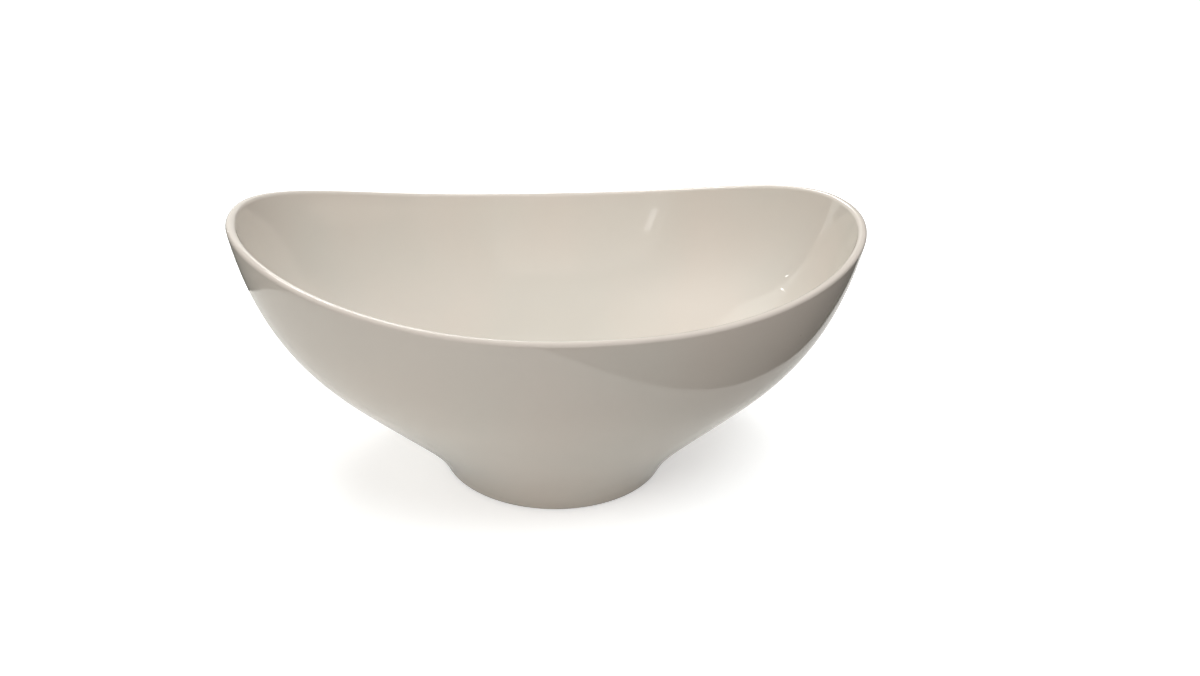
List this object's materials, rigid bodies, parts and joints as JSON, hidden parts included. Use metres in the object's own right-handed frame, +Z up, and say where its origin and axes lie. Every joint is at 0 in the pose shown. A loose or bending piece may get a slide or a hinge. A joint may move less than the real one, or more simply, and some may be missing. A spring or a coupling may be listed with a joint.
{
  "type": "serving bowl",
  "caption": "Oval footed serving bowl in glazed porcelain, with a saddle rim that sweeps up to both ends and a round foot ring.",
  "frame": {"origin": "centre of the foot ring's standing face, on the table plane", "axes": "+X along the bowl's length towards one raised end of the rim, +Z up"},
  "size_m": [0.3, 0.216, 0.1358],
  "materials": {
    "bare_porcelain": "unglazed, fine matte, slightly warm white, faintly worn where it stands",
    "glaze": "glossy clear glaze over warm white porcelain, with slight waviness and a few faint specks"
  },
  "bodies": {
    "root": {"bowl_shell": "bare_porcelain", "foot_ring": "bare_porcelain", "glaze_coat": "glaze", "base_glaze": "glaze"}
  },
  "joints": []
}
